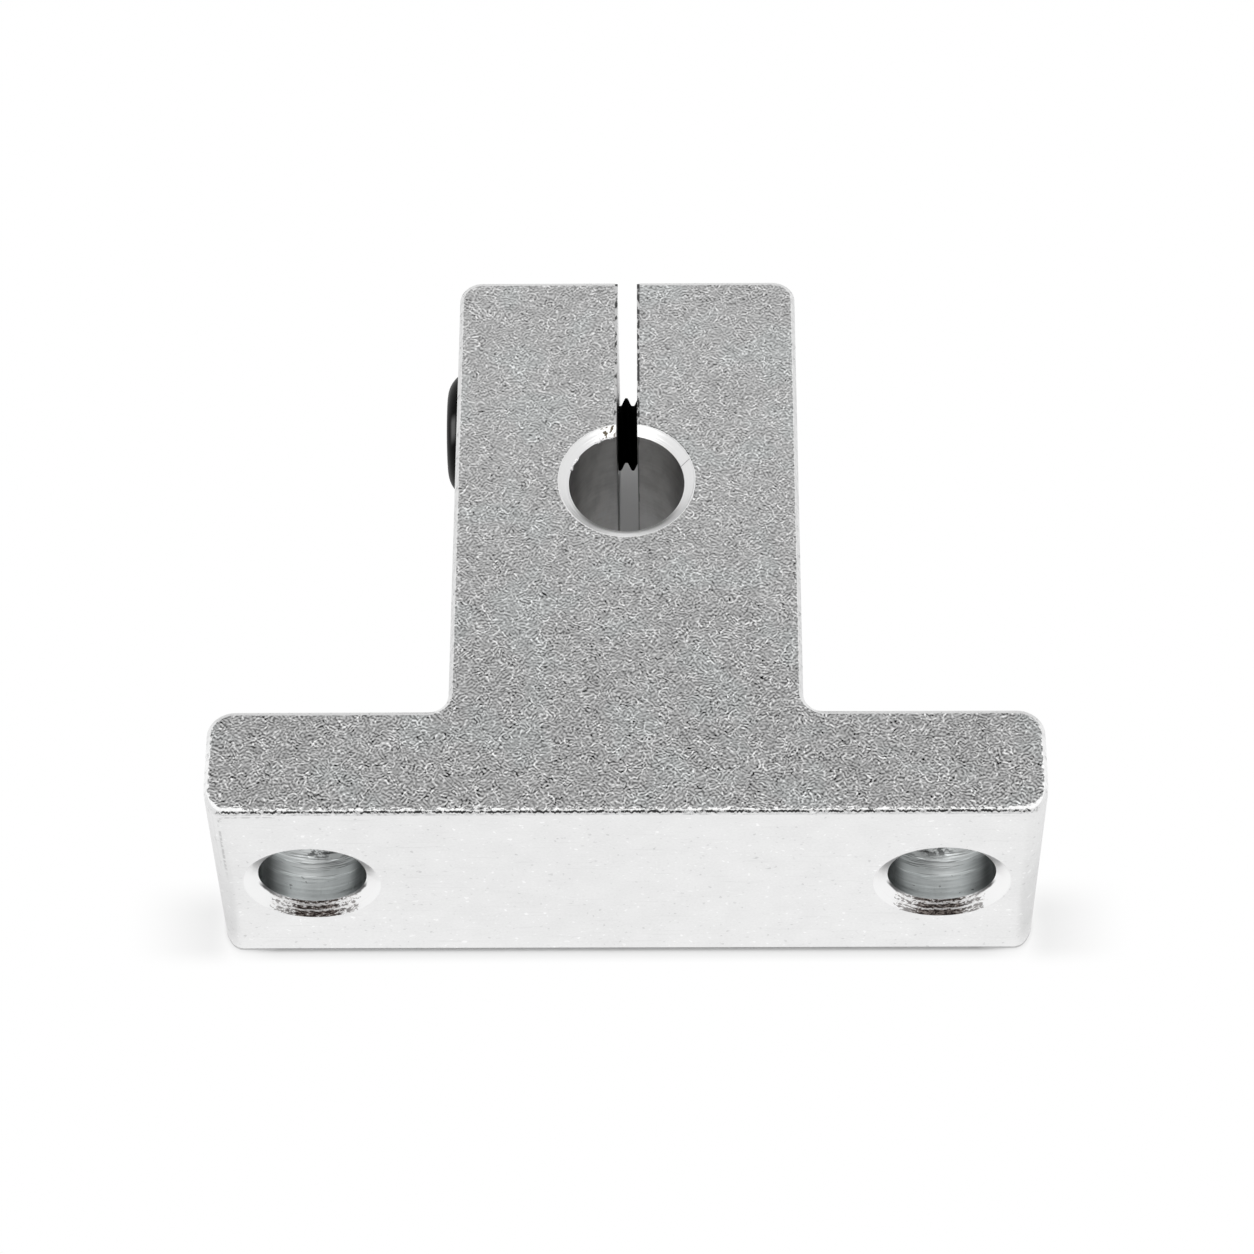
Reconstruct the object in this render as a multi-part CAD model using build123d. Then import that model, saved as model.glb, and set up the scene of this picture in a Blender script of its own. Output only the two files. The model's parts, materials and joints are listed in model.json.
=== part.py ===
from build123d import *
import os
from math import cos, pi, radians, tan

# Shaft support block of the T-shaped, side-clamping kind, with its clamp screw. Millimetres.
# The frame is the block's own as it is bolted down: the mounting face lies in z = 0 and +Z
# points away from the machine bed, Y runs along the shaft, and X across the base through both
# mounting holes. The origin is the middle of the mounting face. The screw's head is on the
# -X side, and the screw lies along X, above the shaft.

# The T profile, seen along the shaft
base_width = 42.0
base_thickness = 6.0
block_depth = 14.0
upright_width = 17.86
foot_radius = 1.9
foot_milled_off = 0.43
foot_crease_radius = 0.8
shoulder_radius = 1.4
root_radius = 1.0
crown_radius = 1.2
profile_edge_bevel = 0.18

# The shaft's seat, the two ears above it, and the slit that lets them close on the shaft
shaft_height = 20.0
crown_rise = 12.8
bore_diameter = 6.0
bore_lead_in_width = 0.53
bore_lead_in_depth = 0.35
slit_width = 1.11
slit_mouth_bevel = 0.2
ear_draw_in = 0.045

# The two holes that bolt the base down
mounting_hole_spacing = 32.0
mounting_hole_diameter = 5.5
mounting_hole_bevel_width = 0.76
mounting_hole_bevel_depth = 0.55

# The clamp screw, a hexagon socket screw with a metric coarse thread
screw_rise = 7.75
thread_diameter = 4.0
thread_pitch = 0.7
screw_length = 12.0
screw_head_diameter = 7.0
screw_head_height = 4.0
screw_head_rim_radius = 1.5
screw_neck_fillet = 0.2
head_stands_out = 0.8
key_across_flats = 3.0
key_depth = 2.0
key_lead_in = 0.12
drill_point_angle = 118.0

# The clearances between the screw and its holes
head_side_clearance = 0.3
head_seat_clearance = 0.02
screw_hole_clearance = 0.25
thread_clearance = 0.05
tapped_hole_bevel = 0.35

# How far a cutter runs on past the face that it opens
overrun = 1.0

# Places worked out from the sizes above
front = -block_depth / 2
back = block_depth / 2
total_height = shaft_height + crown_rise
screw_height = shaft_height + screw_rise
ear_face = upright_width / 2
ear_top_face = ear_face - ear_draw_in
upright_height = total_height - base_thickness
counterbore_depth = screw_head_height - head_stands_out


def ear_face_at(height):
    """Half the upright's width at a height, where the ears have been drawn together."""
    return ear_face - ear_draw_in * (height - base_thickness) / upright_height


head_seat = counterbore_depth - ear_face_at(screw_height)


def drum(radius, length, place=(0, 0, 0)):
    """A cylinder along Z that starts in the place's own z and goes up."""
    return Pos(*place) * Cylinder(radius, length, align=(Align.CENTER, Align.CENTER, Align.MIN))


def funnel(start_radius, end_radius, depth):
    """A cone along +Z from z = 0, for a bevel round a hole's mouth."""
    return Cone(start_radius, end_radius, depth, align=(Align.CENTER, Align.CENTER, Align.MIN))


def along_x(shape, x):
    """Turn what was made along +Z to run along +X from x, on the screw's axis."""
    return Pos(x, 0, screw_height) * Rot(0, 90, 0) * shape


def t_profile():
    """The outline of the block, in the plane of its front face, with the underside milled off."""
    half_base = base_width / 2
    right_side = [
        (half_base, -foot_milled_off, foot_radius),
        (half_base, base_thickness, shoulder_radius),
        (ear_face, base_thickness, root_radius),
        (ear_top_face, total_height, crown_radius),
    ]
    right = [(x, y) for x, y, radius in right_side]
    left = [(-x, y) for x, y in reversed(right)]
    face = make_face(Polyline(*right, *left, close=True))
    for x, y, radius in right_side:
        for side in (-1, 1):
            corner = face.vertices().sort_by_distance((side * x, y))[0]
            face = fillet(corner, radius)
    milled_off = Rectangle(base_width, foot_milled_off, align=(Align.CENTER, Align.MAX))
    face -= milled_off
    creases = face.vertices().group_by(Axis.Y)[0]
    return fillet(creases, foot_crease_radius)


def extruded_body():
    """The T bar, cut to its depth along the shaft, with its two outlines bevelled."""
    bar = extrude(Plane.XZ.offset(-back) * t_profile(), block_depth)
    ends = bar.faces().filter_by(Axis.Y)
    return chamfer(ends.edges(), profile_edge_bevel)


def shaft_bore():
    """The hole for the shaft, with a bevel at both mouths."""
    radius = bore_diameter / 2
    hole = drum(radius, block_depth, (0, 0, front))
    lead_in = funnel(radius + bore_lead_in_width, radius, bore_lead_in_depth)
    cutter = hole + Pos(0, 0, front) * lead_in + Pos(0, 0, back) * Rot(180, 0, 0) * lead_in
    return Pos(0, 0, shaft_height) * Rot(90, 0, 0) * cutter


def clamp_slit():
    """The saw cut from the crown into the bore, drawn in towards its bevelled mouth."""
    half_mouth = slit_width / 2 - ear_draw_in
    right = [
        (slit_width / 2, shaft_height),
        (half_mouth, total_height - slit_mouth_bevel),
        (half_mouth + slit_mouth_bevel + overrun, total_height + overrun),
    ]
    left = [(-x, y) for x, y in reversed(right)]
    cut = make_face(Polyline(*right, *left, close=True))
    return extrude(Plane.XZ.offset(-back - overrun) * cut, block_depth + 2 * overrun)


def mounting_hole():
    """One hole through the base, bevelled at both mouths."""
    radius = mounting_hole_diameter / 2
    bevel = funnel(radius + mounting_hole_bevel_width, radius, mounting_hole_bevel_depth)
    return drum(radius, base_thickness) + bevel + Pos(0, 0, base_thickness) * Rot(180, 0, 0) * bevel


def screw_holes():
    """The head's counterbore and clearance hole in one ear, and the tapped hole in the other."""
    outside = ear_face + overrun
    head_room = screw_head_diameter / 2 + head_side_clearance
    clearance_radius = thread_diameter / 2 + screw_hole_clearance
    tapped_radius = thread_diameter / 2 + thread_clearance
    mouth_depth = tapped_hole_bevel + overrun
    counterbore = along_x(drum(head_room, outside + head_seat), -outside)
    clearance = along_x(drum(clearance_radius, -head_seat), head_seat)
    tapped = along_x(drum(tapped_radius, outside), 0)
    mouth = along_x(funnel(tapped_radius, tapped_radius + mouth_depth, mouth_depth),
                    ear_face_at(screw_height) - tapped_hole_bevel)
    return counterbore + clearance + tapped + mouth


def support_block():
    """The block in one piece: the T bar with its bore, slit and holes."""
    block = extruded_body() - shaft_bore() - clamp_slit() - screw_holes()
    for side in (-1, 1):
        block -= Pos(side * mounting_hole_spacing / 2, 0, 0) * mounting_hole()
    return block


def key_socket():
    """The hexagon for the key, sunk from z = 0, with a bevelled mouth and a drill point."""
    inner = key_across_flats / 2
    corner = inner / cos(pi / 6)
    recess = extrude(RegularPolygon(corner, 6), key_depth)
    mouth = funnel(corner + key_lead_in, inner - key_lead_in, corner - inner + 2 * key_lead_in)
    point_depth = inner / tan(radians(drill_point_angle / 2))
    point = Pos(0, 0, key_depth) * funnel(inner, 0, point_depth)
    return recess + mouth + point


def clamp_screw():
    """The screw along +X: a round head with a rolled rim, then the shank at thread diameter."""
    shank_radius = thread_diameter / 2
    head = drum(screw_head_diameter / 2, screw_head_height)
    head = fillet(head.edges().sort_by(Axis.Z)[0], screw_head_rim_radius)
    shank = drum(shank_radius, screw_length, (0, 0, screw_head_height))
    tip_bevel = thread_pitch / 2
    shank = chamfer(shank.edges().sort_by(Axis.Z)[-1], tip_bevel)
    screw = head + shank
    neck = screw.edges().filter_by(GeomType.CIRCLE).filter_by(
        lambda edge: abs(edge.radius - shank_radius) < screw_neck_fillet
        and abs(edge.center().Z - screw_head_height) < screw_neck_fillet)
    screw = fillet(neck, screw_neck_fillet) - key_socket()
    return along_x(screw, head_seat - head_seat_clearance - screw_head_height)


pieces = {"support_block": support_block(), "clamp_screw": clamp_screw()}

os.makedirs("parts", exist_ok=True)
for name, piece in pieces.items():
    export_step(piece, f"parts/{name}.step")
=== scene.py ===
import json
from math import ceil, cos, pi, radians, sin, sqrt, tan

import bmesh
import bpy
from mathutils import Matrix, Vector

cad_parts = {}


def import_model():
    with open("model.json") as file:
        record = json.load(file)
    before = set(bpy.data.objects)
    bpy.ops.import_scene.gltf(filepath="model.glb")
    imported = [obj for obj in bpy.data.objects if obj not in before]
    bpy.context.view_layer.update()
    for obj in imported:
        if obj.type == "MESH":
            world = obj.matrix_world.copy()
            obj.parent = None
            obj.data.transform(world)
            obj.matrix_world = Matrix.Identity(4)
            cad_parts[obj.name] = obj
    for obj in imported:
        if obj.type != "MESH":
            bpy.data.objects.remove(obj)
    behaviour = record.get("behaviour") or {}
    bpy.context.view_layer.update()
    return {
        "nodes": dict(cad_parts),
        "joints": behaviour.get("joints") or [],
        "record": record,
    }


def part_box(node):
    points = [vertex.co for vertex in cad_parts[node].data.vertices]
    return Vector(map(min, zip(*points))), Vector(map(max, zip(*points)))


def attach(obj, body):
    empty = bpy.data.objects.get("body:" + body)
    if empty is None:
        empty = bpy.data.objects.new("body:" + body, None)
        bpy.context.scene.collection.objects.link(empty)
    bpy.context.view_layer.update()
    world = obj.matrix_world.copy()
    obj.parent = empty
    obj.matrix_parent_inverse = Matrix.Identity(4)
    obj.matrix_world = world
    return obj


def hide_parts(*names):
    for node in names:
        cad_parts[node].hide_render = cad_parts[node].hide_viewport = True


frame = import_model()

# Sizes here are in millimetres and become metres where a mesh, lamp or camera is made.
MM = 0.001
mounts = {mount["name"]: mount for mount in frame["record"]["mounts"]}
block_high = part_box("support_block")[1] / MM
screw_low, screw_high = [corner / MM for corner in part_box("clamp_screw")]

HALF_WIDTH = block_high.x
HALF_DEPTH = block_high.y
CROWN = block_high.z
SHAFT_HEIGHT = mounts["shaft_bore"]["pos_m"][2] / MM
BORE_RADIUS = mounts["shaft_bore"]["dims"]["r_mm"]
HOLE_PLACE = mounts["right_bolt_hole"]["pos_m"][0] / MM
HOLE_RADIUS = mounts["right_bolt_hole"]["dims"]["r_mm"]
BASE_TOP = 2 * mounts["right_bolt_hole"]["pos_m"][2] / MM
SCREW_HEIGHT = frame["joints"][0]["pos_m"][2] / MM
HEAD_END = screw_low.x
SCREW_TIP = screw_high.x
HEAD_RADIUS = screw_high.y

# The block's own forms, as it was cut
EAR_FACE = 8.93
EDGE_BEVEL = 0.18
FOOT_RADIUS = 1.9
FOOT_MILLED_OFF = 0.43
CREASE_RADIUS = 0.8
SHOULDER_RADIUS = 1.4
ROOT_RADIUS = 1.0
CROWN_RADIUS = 1.2
BORE_BEVEL_RADIUS = 3.53
BORE_BEVEL_DEPTH = 0.35
HOLE_BEVEL_RADIUS = 3.51
HALF_SLIT = 0.555
EAR_DRAW_IN = 0.045
EAR_LEAN = EAR_DRAW_IN / (CROWN - BASE_TOP)
TAPPED_RADIUS = 2.05
FOOT_HEIGHT = FOOT_RADIUS - FOOT_MILLED_OFF
CREASE = HALF_WIDTH - FOOT_RADIUS + sqrt(FOOT_RADIUS ** 2 - FOOT_HEIGHT ** 2)
CREASE_REACH = sqrt((FOOT_RADIUS - CREASE_RADIUS) ** 2 - (FOOT_HEIGHT - CREASE_RADIUS) ** 2)
CREASE_CENTRE = HALF_WIDTH - FOOT_RADIUS + CREASE_REACH
CREASE_SLOPE = (FOOT_HEIGHT - CREASE_RADIUS) / CREASE_REACH

# How near to a surface a point still counts as on it, and how far the screw's holes are looked
# for round its head and short of the ear's face
TOUCH = 0.01
HEAD_ROOM = 0.4
EAR_SKIN = 0.1

# The clamp screw, and the rings that its skin and the tapped thread's are made of
HEAD_HEIGHT = 4.0
RIM_RADIUS = 1.5
SEAT_BEVEL = 0.15
KEY_FLAT = 1.5
KEY_CORNER = KEY_FLAT / cos(pi / 6)
KEY_DEPTH = 2.0
KEY_LEAD_IN = 0.12
DRILL_POINT = radians(59)
CONE_SHARES = (0.2, 0.5, 0.8, 1.0)
NECK_RADIUS = 2.0
NECK_LENGTH = 0.5
NECK_FILLET = 0.2
THREAD_RADIUS = 1.96
THREAD_DEPTH = 0.42
PITCH = 0.7
CREST_SHARE = 0.14
FLANK_SHARE = 0.66
ROUND_STEPS = 96
RIM_STEPS = 14
STEPS_PER_PITCH = 18

# The thread that is bare in the tapped hole, beyond the screw's tip
BARE_START = SCREW_TIP + 0.06
BARE_END = EAR_FACE - 0.42
BARE_RUN_OUT = 0.3
BARE_OUTSIDE = TAPPED_RADIUS + 0.015
BARE_GAP = TAPPED_RADIUS - THREAD_RADIUS - 0.01
BARE_ROUND_STEPS = 72
BARE_STEPS_PER_PITCH = 16

# The torn crumbs along the front edge, which stop short of its ends, and those on two
# stretches of the bore's mouth, in degrees from +X
SMALLEST_CRUMB = 0.012
EDGE_CRUMBS_SHORT = 1.2
EDGE_CRUMBS = {"spacing": 0.10, "largest": 0.10, "stray": 0.02, "seed": 7}
MOUTH_CRUMBS = {
    "bore_mouth_crumbs_upper": (range(105, 124, 3),
                                {"spacing": 0.06, "largest": 0.12, "stray": 0.03, "seed": 3}),
    "bore_mouth_crumbs_left": (range(147, 167, 3),
                               {"spacing": 0.06, "largest": 0.13, "stray": 0.03, "seed": 3}),
}

# The camera, as the photograph was taken
PHOTO_WIDTH = 1254
FOCAL_LENGTH = 4651.5
SENSOR = 36.0
CAMERA_AZIMUTH = radians(0.738)
CAMERA_ELEVATION = radians(-32.58)
CAMERA_ROLL = radians(0.209)
CAMERA_DISTANCE = 236.16
AIM = Vector((0.05, -HALF_DEPTH, 10.94))

# The studio, and how bright it is where white paper would be 1
STUDIO_LEVEL = 0.95
DARK_PART = 0.3
DARK_DIRECTION = Vector((0, -0.09, -0.996))
DARK_INSIDE = radians(8)
DARK_OUTSIDE = radians(25)
SHEET_REACH = 900
SHEET_GAP = 0.01
SHEET_SHADE = 0.78
# the sheet's colour at the base's edge, a painted contact shadow
PAINTED_CONTACT_SHADOW = 0.53

# The soft boxes: where each is, what it points at, its side, and its power in watts
LAMPS = {
    "key": (Vector((0, -340, -70)), Vector((0, 0, 10)), 420, 0.3),
    "upper": (Vector((0, -130, 140)), Vector((0, 0, 20)), 120, 0.02),
}


class Wire:
    """A number socket of a node tree. Python's operators on it add Math nodes to the tree."""

    def __init__(self, tree, socket):
        self.tree = tree
        self.socket = socket

    def math(self, operation, *others):
        node = self.tree.nodes.new("ShaderNodeMath")
        node.operation = operation
        for place, value in enumerate((self, *others)):
            plug(self.tree, node.inputs[place], value)
        return Wire(self.tree, node.outputs[0])

    def __add__(self, other):
        return self.math("ADD", other)

    __radd__ = __add__

    def __sub__(self, other):
        return self.math("SUBTRACT", other)

    def __rsub__(self, other):
        return (self * -1) + other

    def __mul__(self, other):
        return self.math("MULTIPLY", other)

    __rmul__ = __mul__

    def __truediv__(self, other):
        return self.math("DIVIDE", other)

    def __abs__(self):
        return self.math("ABSOLUTE")

    def __lt__(self, other):
        return self.math("LESS_THAN", other)

    def __gt__(self, other):
        return self.math("GREATER_THAN", other)

    def least(self, other):
        return self.math("MINIMUM", other)

    def most(self, other):
        return self.math("MAXIMUM", other)

    def root(self):
        return self.math("SQRT")

    def angle_to(self, other):
        return self.math("ARCTAN2", other)


def plug(tree, socket, value):
    """Give a socket a link if the value is a Wire or another socket, or else a constant."""
    if isinstance(value, Wire):
        value = value.socket
    if isinstance(value, bpy.types.NodeSocket):
        tree.links.new(value, socket)
    else:
        socket.default_value = value


def new_node(tree, kind, settings=None, inputs=None):
    """A node of any tree, with its settings, and with its inputs plugged."""
    made = tree.nodes.new(kind)
    for key, value in (settings or {}).items():
        setattr(made, key, value)
    for key, value in (inputs or {}).items():
        plug(tree, made.inputs[key], value)
    return made


class Surface:
    """A material's tree, with one method for all nodes but the Math ones."""

    def __init__(self, name):
        self.material = bpy.data.materials.new(name)
        self.material.use_nodes = True
        self.tree = self.material.node_tree
        self.tree.nodes.clear()

    def node(self, kind, settings=None, inputs=None, output=0):
        """One output of a new node, or None where it has no outputs."""
        made = new_node(self.tree, kind, settings, inputs)
        return Wire(self.tree, made.outputs[output]) if made.outputs else None

    def place(self):
        """Where the surface is, in millimetres, as a vector and as its three numbers."""
        place = self.scaled(self.node("ShaderNodeTexCoord", output="Object"), 1 / MM)
        parts = [self.node("ShaderNodeSeparateXYZ", inputs={0: place}, output=axis)
                 for axis in "XYZ"]
        return place, parts

    def vector(self, x, y, z):
        return self.node("ShaderNodeCombineXYZ", inputs={"X": x, "Y": y, "Z": z})

    def scaled(self, place, factor):
        return self.node("ShaderNodeVectorMath", {"operation": "SCALE"},
                         {0: place, "Scale": factor})

    def stretched(self, place, x, y, z):
        return self.node("ShaderNodeVectorMath", {"operation": "MULTIPLY"},
                         {0: place, 1: (x, y, z)})

    def warped(self, place, per_mm, reach):
        """The place shifted by up to half the reach, to bend what is drawn on it."""
        shift = self.node("ShaderNodeTexNoise", output="Color", inputs={
            "Vector": place, "Scale": per_mm, "Detail": 1.0})
        centred = self.node("ShaderNodeVectorMath", {"operation": "SUBTRACT"},
                            {0: shift, 1: (0.5, 0.5, 0.5)})
        return self.node("ShaderNodeVectorMath", {"operation": "ADD"},
                         {0: place, 1: self.scaled(centred, reach)})

    def noise(self, place, per_mm, detail=2.0, roughness=0.5):
        return self.node("ShaderNodeTexNoise", inputs={
            "Vector": place, "Scale": per_mm, "Detail": detail, "Roughness": roughness})

    def strokes(self, place, per_mm, lines, order):
        """Short wavy strokes, from about -0.3 to 0.3, mostly level where order is near 1."""
        return self.node("ShaderNodeTexGabor", output="Value", inputs={
            "Vector": place, "Scale": per_mm, "Frequency": lines,
            "Anisotropy": order, "Orientation": pi / 2}) - 0.5

    def rings(self, place, per_mm, radius, width):
        """Thin rings, one round each of many scattered points, all in shares of their spacing."""
        distance = self.node("ShaderNodeTexVoronoi", {"voronoi_dimensions": "2D"},
                             {"Vector": place, "Scale": per_mm})
        return self.ramp(abs(distance - radius), width * 0.3, width, 1.0, 0.0)

    def ramp(self, value, low, high, start=0.0, end=1.0):
        """A soft step from start to end as the value goes from low to high."""
        return self.node("ShaderNodeMapRange", {"interpolation_type": "SMOOTHSTEP"}, {
            "Value": value, "From Min": low, "From Max": high, "To Min": start, "To Max": end})

    def grey(self, value):
        return self.vector(value, value, value)

    def mix(self, low, high, share):
        """A colour between two others."""
        return self.node("ShaderNodeMix", {"data_type": "RGBA"},
                         {6: low, 7: high, 0: share}, output=2)

    def bump(self, height):
        """Relief, with its height in millimetres."""
        return self.node("ShaderNodeBump", inputs={
            "Strength": 1.0, "Distance": MM, "Height": height})

    def finish(self, colour, roughness, metallic, normal, specular=0.5):
        shader = self.node("ShaderNodeBsdfPrincipled", inputs={
            "Base Color": colour, "Roughness": roughness, "Metallic": metallic,
            "Specular IOR Level": specular, "Normal": normal})
        self.node("ShaderNodeOutputMaterial", inputs={"Surface": shader})
        return self.material


def rgb(red, green, blue):
    return (red, green, blue, 1.0)


def length(first, second):
    return (first * first + second * second).root()


def inside_round_box(reach_x, reach_z, radius):
    """How deep a point is in a box with round corners, from how far it is past their centres."""
    outside = length(reach_x.most(0), reach_z.most(0))
    return radius - outside - reach_x.most(reach_z).least(0)


def outline_depth(across, z):
    """How deep a point of the end face is inside the T outline, near its edge."""
    low_half = z < BASE_TOP / 2
    foot = low_half * (FOOT_RADIUS - SHOULDER_RADIUS) + SHOULDER_RADIUS
    middle = (BASE_TOP - FOOT_MILLED_OFF) / 2
    base = inside_round_box(across - HALF_WIDTH + foot,
                            abs(z - middle) - BASE_TOP + middle + foot, foot).least(z)
    crease_x = across - CREASE_CENTRE
    in_crease = (crease_x > 0) * (crease_x * CREASE_SLOPE < CREASE_RADIUS - z) * low_half
    rounded = CREASE_RADIUS - length(crease_x, CREASE_RADIUS - z)
    base = base + (rounded - base) * in_crease
    ear = EAR_FACE - (z - BASE_TOP) * EAR_LEAN
    upright = inside_round_box(across - ear + CROWN_RADIUS, z - CROWN + CROWN_RADIUS,
                               CROWN_RADIUS).least(z)
    root_x = EAR_FACE + ROOT_RADIUS - across
    root_z = BASE_TOP + ROOT_RADIUS - z
    near_root = (root_x > 0) * (root_z > 0) * (root_x.most(root_z) < 2 * ROOT_RADIUS)
    root = (length(root_x, root_z) - ROOT_RADIUS + HALF_WIDTH) * near_root - HALF_WIDTH
    return base.most(upright).most(root)


def summed(choices):
    """The value of whichever place a point is in, from pairs of a 0 or 1 mask and a value."""
    total = 0
    for mask, value in choices:
        total = mask * value + total
    return total


class BlockPlaces:
    """Masks that are 1 on one kind of the block's surface, and coordinates on the cut ones."""

    def __init__(self, surface):
        self.place, (self.x, self.y, self.z) = surface.place()
        x, y, z = self.x, self.y, self.z
        self.across = across = abs(x)
        from_end = HALF_DEPTH - abs(y)
        self.depth = outline_depth(across, z)
        self.end = from_end < TOUCH
        off_end = 1 - self.end
        self.edge = off_end * (from_end < EDGE_BEVEL + TOUCH) * (self.depth < EDGE_BEVEL + TOUCH)
        self.top_edge = (surface.ramp(z, BASE_TOP - 1, BASE_TOP - 0.3) * (z < BASE_TOP + 0.1)
                         * (across > EAR_FACE + ROOT_RADIUS * 0.7)
                         + surface.ramp(z, CROWN - 1, CROWN - 0.3))
        self.right = x > 0
        self.to_slit = across - HALF_SLIT + (z - SHAFT_HEIGHT) * EAR_LEAN
        self.above_bore = z > SHAFT_HEIGHT
        self.slit = (self.to_slit < TOUCH) * self.above_bore * off_end

        drop = z - SHAFT_HEIGHT
        self.bore_radius = length(x, drop)
        self.bore_arc = x.angle_to(drop) * BORE_RADIUS
        self.bore = (self.bore_radius < BORE_RADIUS + TOUCH) * (1 - self.slit) * off_end
        self.lead_in = ((self.bore_radius < BORE_BEVEL_RADIUS + TOUCH)
                        * (self.bore_radius > BORE_RADIUS + TOUCH) * (1 - self.slit) * off_end)

        off_centre = across - HOLE_PLACE
        radius = length(off_centre, y)
        self.hole_arc = off_centre.angle_to(y) * HOLE_RADIUS
        self.hole = radius < HOLE_RADIUS + TOUCH
        inside_base = abs(z - BASE_TOP / 2) < BASE_TOP / 2 - TOUCH / 2
        self.hole_bevel = ((radius > HOLE_RADIUS + TOUCH) * (radius < HOLE_BEVEL_RADIUS)
                           * inside_base)
        self.hole_out = off_centre / HOLE_RADIUS
        self.hole_side = abs(self.hole_out)
        self.hole_rise = (radius - HOLE_RADIUS) / (HOLE_BEVEL_RADIUS - HOLE_RADIUS)

        from_screw = length(y, z - SCREW_HEIGHT)
        self.screw_arc = y.angle_to(z - SCREW_HEIGHT) * TAPPED_RADIUS
        self.screw_hole = ((across < EAR_FACE - EAR_SKIN) * (self.to_slit > TOUCH) * off_end
                           * (from_screw < HEAD_RADIUS + HEAD_ROOM)
                           * (self.bore_radius > BORE_BEVEL_RADIUS))


def scored_line(surface, at, grit):
    """A worn line on the underside that turns with the foot's front corner, shorter at +X."""
    turn_x = CREASE - 0.5
    turn_y = 0.8 - HALF_DEPTH
    turn_radius = 0.45
    inner_end = CREASE - 2.9
    from_turn = length((at.across - turn_x).most(0), (at.y - turn_y).least(0))
    line = surface.ramp(abs(from_turn - turn_radius), 0.03, 0.09, 1.0, 0.0)
    fading = surface.ramp(at.y + at.right * 6, -2.5, 0.0, 1.0, 0.0)
    stretch = (at.z < 0.2) * (at.across > inner_end)
    return line * fading * stretch * surface.ramp(grit, 0.38, 0.52)


def drawn_colour(surface, at):
    """Pale and smooth: faint hairlines, along the bar but across its underside, and specks that
    gather in places, some dark and some bright, with painted shade on the feet's rounded sides."""
    slow = surface.noise(at.place, 0.5, 2.0)
    grit = surface.noise(at.place, 3.0, 1.0, 0.6)
    cloud = surface.ramp(slow, 0.3, 0.7, 0.83, 0.86)
    mottle = (surface.noise(at.place, 7.0, 1.0) - 0.5) * 0.09
    bright = surface.ramp(grit, 0.34, 0.27) * surface.ramp(slow, 0.38, 0.62, 0.05, 0.14)
    speck = surface.ramp(grit, 0.66, 0.74) * surface.ramp(slow, 0.38, 0.62, 0.17, 0.03)
    underside = at.z < 0.02
    along = surface.mix(surface.stretched(at.place, 5, 0.12, 5),
                        surface.stretched(at.place, 0.25, 4, 4), underside)
    hairline = surface.ramp(surface.noise(along, 1.0, 2.0), 0.58, 0.74) * 0.04
    # painted shade: the feet's rounded sides darken towards the block's ends, low down
    flank = surface.ramp(at.across, CREASE_CENTRE, HALF_WIDTH) * (at.z < 3) * 0.04
    score = scored_line(surface, at, grit) * 0.24
    return surface.grey(cloud + mottle + bright - speck - hairline - flank - score)


def curls(surface, bent, beside):
    """Thin curled scratches, two kinds light and one dark, each cut short in its own places."""
    short = surface.noise(beside, 2.4, 1.0)
    light = surface.rings(bent, 1.3, 0.38, 0.075) * 0.25
    dark = surface.rings(bent, 1.5, 0.28, 0.09) * 0.12
    tight = surface.rings(beside, 1.7, 0.40, 0.095) * 0.20
    return ((light - dark) * surface.ramp(short, 0.51, 0.56)
            + tight * surface.ramp(short, 0.48, 0.43))


def dark_rim_arc(surface, at):
    """A dark thin arc just outside the bore's lead-in, broken, at its upper right."""
    arc = surface.ramp(abs(at.bore_radius - BORE_BEVEL_RADIUS - 0.04), 0.03, 0.06, 0.30, 0.0)
    broken = surface.ramp(surface.noise(at.place, 2.4, 1.0), 0.40, 0.50)
    return arc * broken * (at.x > 0.7) * (at.z > SHAFT_HEIGHT + 1.2)


def blasted_colour(surface, at):
    """Grey ends, covered in short wavy strokes, light and dark, with faint greenish patches, and
    with painted light that makes them lighter towards the top.
    """
    bent = surface.warped(surface.vector(at.x, at.z, 0), 1.0, 0.5)
    beside = surface.warped(surface.vector(at.x + 3, at.z + 7, 0), 1.0, 0.5)
    strokes = surface.strokes(bent, 3.0, 1.75, 0.25) + surface.strokes(beside, 2.6, 2.1, 0.25)
    pit = surface.ramp(surface.noise(beside, 4.0, 1.0), 0.66, 0.76, 0.0, -0.16)
    patchy = surface.noise(at.place, 1.3, 1.0)
    contrast = surface.ramp(at.z, 0.0, 28.0, 1.38, 1.08) * surface.ramp(patchy, 0.3, 0.7, 0.7, 1.25)
    slow = surface.noise(at.place, 0.3, 2.0)
    # painted light: the ends grow lighter from the base up towards the crown
    shade = surface.ramp(slow, 0.3, 0.7, 0.38, 0.41) * surface.ramp(at.z, 2.0, 26.0, 0.94, 1.09)
    grain = strokes.most(-0.17).least(0.19) * 0.78 + curls(surface, bent, beside) + pit
    grey = shade - 0.012 + grain * contrast - dark_rim_arc(surface, at)
    return surface.vector(grey * surface.ramp(slow, 0.50, 0.62, 1.0, 0.98), grey, grey)


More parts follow.
